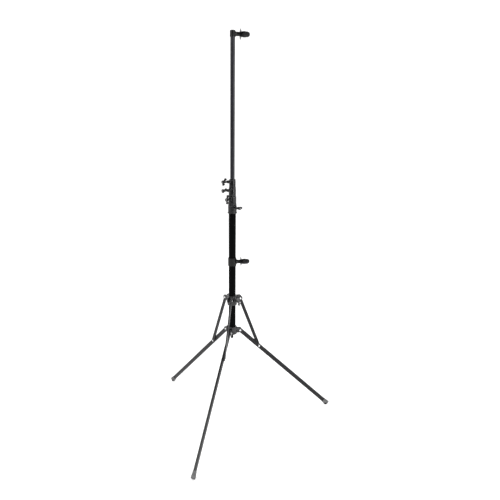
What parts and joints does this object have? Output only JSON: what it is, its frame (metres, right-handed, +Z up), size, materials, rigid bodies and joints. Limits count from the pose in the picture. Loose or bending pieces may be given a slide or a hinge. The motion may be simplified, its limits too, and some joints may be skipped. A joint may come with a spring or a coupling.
{
  "type": "background stand",
  "caption": "Light folding stand: telescopic column with wing-knob collars on a braced tripod, and two swivelling spring clips.",
  "frame": {"origin": "the point on the floor under the column axis, with the legs open", "axes": "+Z up along the column, front leg along -Y, right and left legs at 120 degrees either side"},
  "size_m": [0.7108, 0.6156, 1.4248],
  "materials": {
    "column_tube": "black anodised satin",
    "top_tube": "charcoal satin",
    "cast_hub": "dark grey powder coat",
    "collar": "dark grey satin",
    "leg_bar": "dark grey satin",
    "brace_bar": "dark grey satin",
    "knob": "moulded black",
    "clip": "semi-gloss black",
    "plug": "moulded black",
    "steel": "bright zinc",
    "foot_rubber": "matte grey-black",
    "shoe": "natural nylon"
  },
  "bodies": {
    "stand": {"outer_tube": "column_tube", "outer_plug": "plug", "outer_collar": "collar", "outer_collar_brake_shoe": "shoe", "lower_hub": "cast_hub", "leg_pivot_pins": "steel"},
    "top_section": {"top_tube": "top_tube", "top_plug": "plug"},
    "hub_slider": {"upper_hub": "cast_hub", "upper_hub_rivets": "steel", "upper_hub_brake_shoe": "shoe"},
    "hub_knob": {"upper_hub_knob": "knob", "upper_hub_screw": "steel"},
    "clip_head": {"top_clip_head": "clip", "top_clip_nut": "steel"},
    "top_post": {"top_clip_post": "steel", "top_clip_cap": "clip", "top_clip_spring": "steel"},
    "top_grip": {"top_clip_grip": "clip"},
    "clip_liner": {"lower_clip_liner": "clip"},
    "clip_ring": {"lower_clip_ring": "clip", "lower_clip_nut": "steel"},
    "lower_post": {"lower_clip_post": "steel", "lower_clip_cap": "clip", "lower_clip_spring": "steel"},
    "lower_grip": {"lower_clip_grip": "clip"},
    "second_section": {"second_tube": "column_tube", "second_collar": "collar", "second_collar_brake_shoe": "shoe"},
    "third_section": {"third_tube": "column_tube", "third_plug": "plug", "third_collar": "collar", "third_collar_brake_shoe": "shoe"},
    "fourth_section": {"fourth_tube": "column_tube", "fourth_plug": "plug", "fourth_collar": "collar", "fourth_collar_brake_shoe": "shoe"},
    "second_guide": {"second_plug": "plug"},
    "outer_knob": {"outer_collar_knob": "knob", "outer_collar_screw": "steel"},
    "second_knob": {"second_collar_knob": "knob", "second_collar_screw": "steel"},
    "third_knob": {"third_collar_knob": "knob", "third_collar_screw": "steel"},
    "fourth_knob": {"fourth_collar_knob": "knob", "fourth_collar_screw": "steel"},
    "front_leg": {"front_leg": "leg_bar", "front_foot": "foot_rubber", "front_brace_pin": "steel"},
    "front_brace": {"front_brace": "brace_bar"},
    "right_leg": {"right_leg": "leg_bar", "right_foot": "foot_rubber", "right_brace_pin": "steel"},
    "right_brace": {"right_brace": "brace_bar"},
    "left_leg": {"left_leg": "leg_bar", "left_foot": "foot_rubber", "left_brace_pin": "steel"},
    "left_brace": {"left_brace": "brace_bar"}
  },
  "joints": [
    {"name": "front_leg_fold", "type": "hinge", "parent": "stand", "child": "front_leg", "pos_m": [0, -0.03, 0.356], "axis": [-1, 0, 0], "range_deg": [0, 133.6]},
    {"name": "right_leg_fold", "type": "hinge", "parent": "stand", "child": "right_leg", "pos_m": [0.02598, 0.015, 0.356], "axis": [0.5, -0.866, 0], "range_deg": [0, 133.6]},
    {"name": "left_leg_fold", "type": "hinge", "parent": "stand", "child": "left_leg", "pos_m": [-0.02598, 0.015, 0.356], "axis": [0.5, 0.866, 0], "range_deg": [0, 133.6]},
    {"name": "front_brace_swing", "type": "hinge", "parent": "front_leg", "child": "front_brace", "pos_m": [0, -0.10604, 0.28359], "axis": [-1, 0, 0], "range_deg": [-154.52, 0]},
    {"name": "right_brace_swing", "type": "hinge", "parent": "right_leg", "child": "right_brace", "pos_m": [0.09183, 0.05302, 0.28359], "axis": [0.5, -0.866, 0], "range_deg": [-154.52, 0]},
    {"name": "left_brace_swing", "type": "hinge", "parent": "left_leg", "child": "left_brace", "pos_m": [-0.09183, 0.05302, 0.28359], "axis": [0.5, 0.866, 0], "range_deg": [-154.52, 0]},
    {"name": "upper_hub_slide", "type": "slide", "parent": "stand", "child": "hub_slider", "axis": [0, 0, 1], "range_m": [0, 0.19144]},
    {"name": "lower_clip_slide", "type": "slide", "parent": "stand", "child": "clip_liner", "axis": [0, 0, 1], "range_m": [-0.11, 0.16]},
    {"name": "lower_clip_swivel", "type": "hinge", "parent": "clip_liner", "child": "clip_ring", "pos_m": [0, 0, 0.6235], "axis": [0, 0, 1], "range_deg": [-180, 180]},
    {"name": "second_tube_slide", "type": "slide", "parent": "stand", "child": "second_guide", "axis": [0, 0, 1], "range_m": [0, 0.41]},
    {"name": "third_tube_slide", "type": "slide", "parent": "second_section", "child": "third_section", "axis": [0, 0, 1], "range_m": [0, 0.41]},
    {"name": "fourth_tube_slide", "type": "slide", "parent": "third_section", "child": "fourth_section", "axis": [0, 0, 1], "range_m": [0, 0.41]},
    {"name": "second_tube_turn", "type": "hinge", "parent": "second_guide", "child": "second_section", "pos_m": [0, 0, 0.6], "axis": [0, 0, 1], "range_deg": [-180, 180]},
    {"name": "top_tube_slide", "type": "slide", "parent": "fourth_section", "child": "top_section", "axis": [0, 0, 1], "range_m": [-0.45, 0.01]},
    {"name": "outer_knob_turn", "type": "hinge", "parent": "stand", "child": "outer_knob", "pos_m": [0.01732, -0.01, 0.8243], "axis": [0.866, -0.5, 0], "range_deg": [-360, 0]},
    {"name": "second_knob_turn", "type": "hinge", "parent": "second_section", "child": "second_knob", "pos_m": [-0.00484, -0.01941, 0.8548], "axis": [-0.2419, -0.9703, 0], "range_deg": [-360, 0]},
    {"name": "third_knob_turn", "type": "hinge", "parent": "third_section", "child": "third_knob", "pos_m": [-0.01338, -0.01486, 0.8853], "axis": [-0.6691, -0.7431, 0], "range_deg": [-360, 0]},
    {"name": "fourth_knob_turn", "type": "hinge", "parent": "fourth_section", "child": "fourth_knob", "pos_m": [-0.01338, -0.01486, 0.9158], "axis": [-0.6691, -0.7431, 0], "range_deg": [-360, 0]},
    {"name": "hub_knob_turn", "type": "hinge", "parent": "hub_slider", "child": "hub_knob", "pos_m": [0.01732, -0.01, 0.47656], "axis": [0.866, -0.5, 0], "range_deg": [-360, 0]},
    {"name": "top_clip_swivel", "type": "hinge", "parent": "top_section", "child": "clip_head", "pos_m": [0, 0, 1.407], "axis": [0, 0, 1], "continuous": true},
    {"name": "top_clip_lock", "type": "hinge", "parent": "clip_head", "child": "top_post", "pos_m": [0.03595, 0.01753, 1.407], "axis": [0.8988, 0.4384, 0], "range_deg": [-360, 0]},
    {"name": "top_clip_pull", "type": "slide", "parent": "top_post", "child": "top_grip", "axis": [0.8988, 0.4384, 0], "range_m": [0, 0.01], "stiffness_N_per_m": 900, "springref_m": -0.012, "deforming": ["top_clip_spring"]},
    {"name": "lower_clip_lock", "type": "hinge", "parent": "clip_ring", "child": "lower_post", "pos_m": [0.03654, 0.01627, 0.6235], "axis": [0.9135, 0.4067, 0], "range_deg": [-360, 0]},
    {"name": "lower_clip_pull", "type": "slide", "parent": "lower_post", "child": "lower_grip", "axis": [0.9135, 0.4067, 0], "range_m": [0, 0.01], "stiffness_N_per_m": 900, "springref_m": -0.012, "deforming": ["lower_clip_spring"]}
  ],
  "couplings": [
    {"joint": "front_brace_swing", "follows": "front_leg_fold", "ratio": -1.1566},
    {"joint": "right_brace_swing", "follows": "front_leg_fold", "ratio": -1.1566},
    {"joint": "left_brace_swing", "follows": "front_leg_fold", "ratio": -1.1566},
    {"joint": "right_leg_fold", "follows": "front_leg_fold", "ratio": 1},
    {"joint": "left_leg_fold", "follows": "front_leg_fold", "ratio": 1},
    {"joint": "upper_hub_slide", "follows": "front_leg_fold", "m_per_rad": 0.082103},
    {"joint": "lower_clip_slide", "follows": "front_leg_fold", "m_per_rad": 0.033022},
    {"joint": "lower_clip_swivel", "follows": "front_leg_fold", "ratio": 0.49401},
    {"joint": "second_tube_turn", "follows": "front_leg_fold", "ratio": -0.34431}
  ]
}
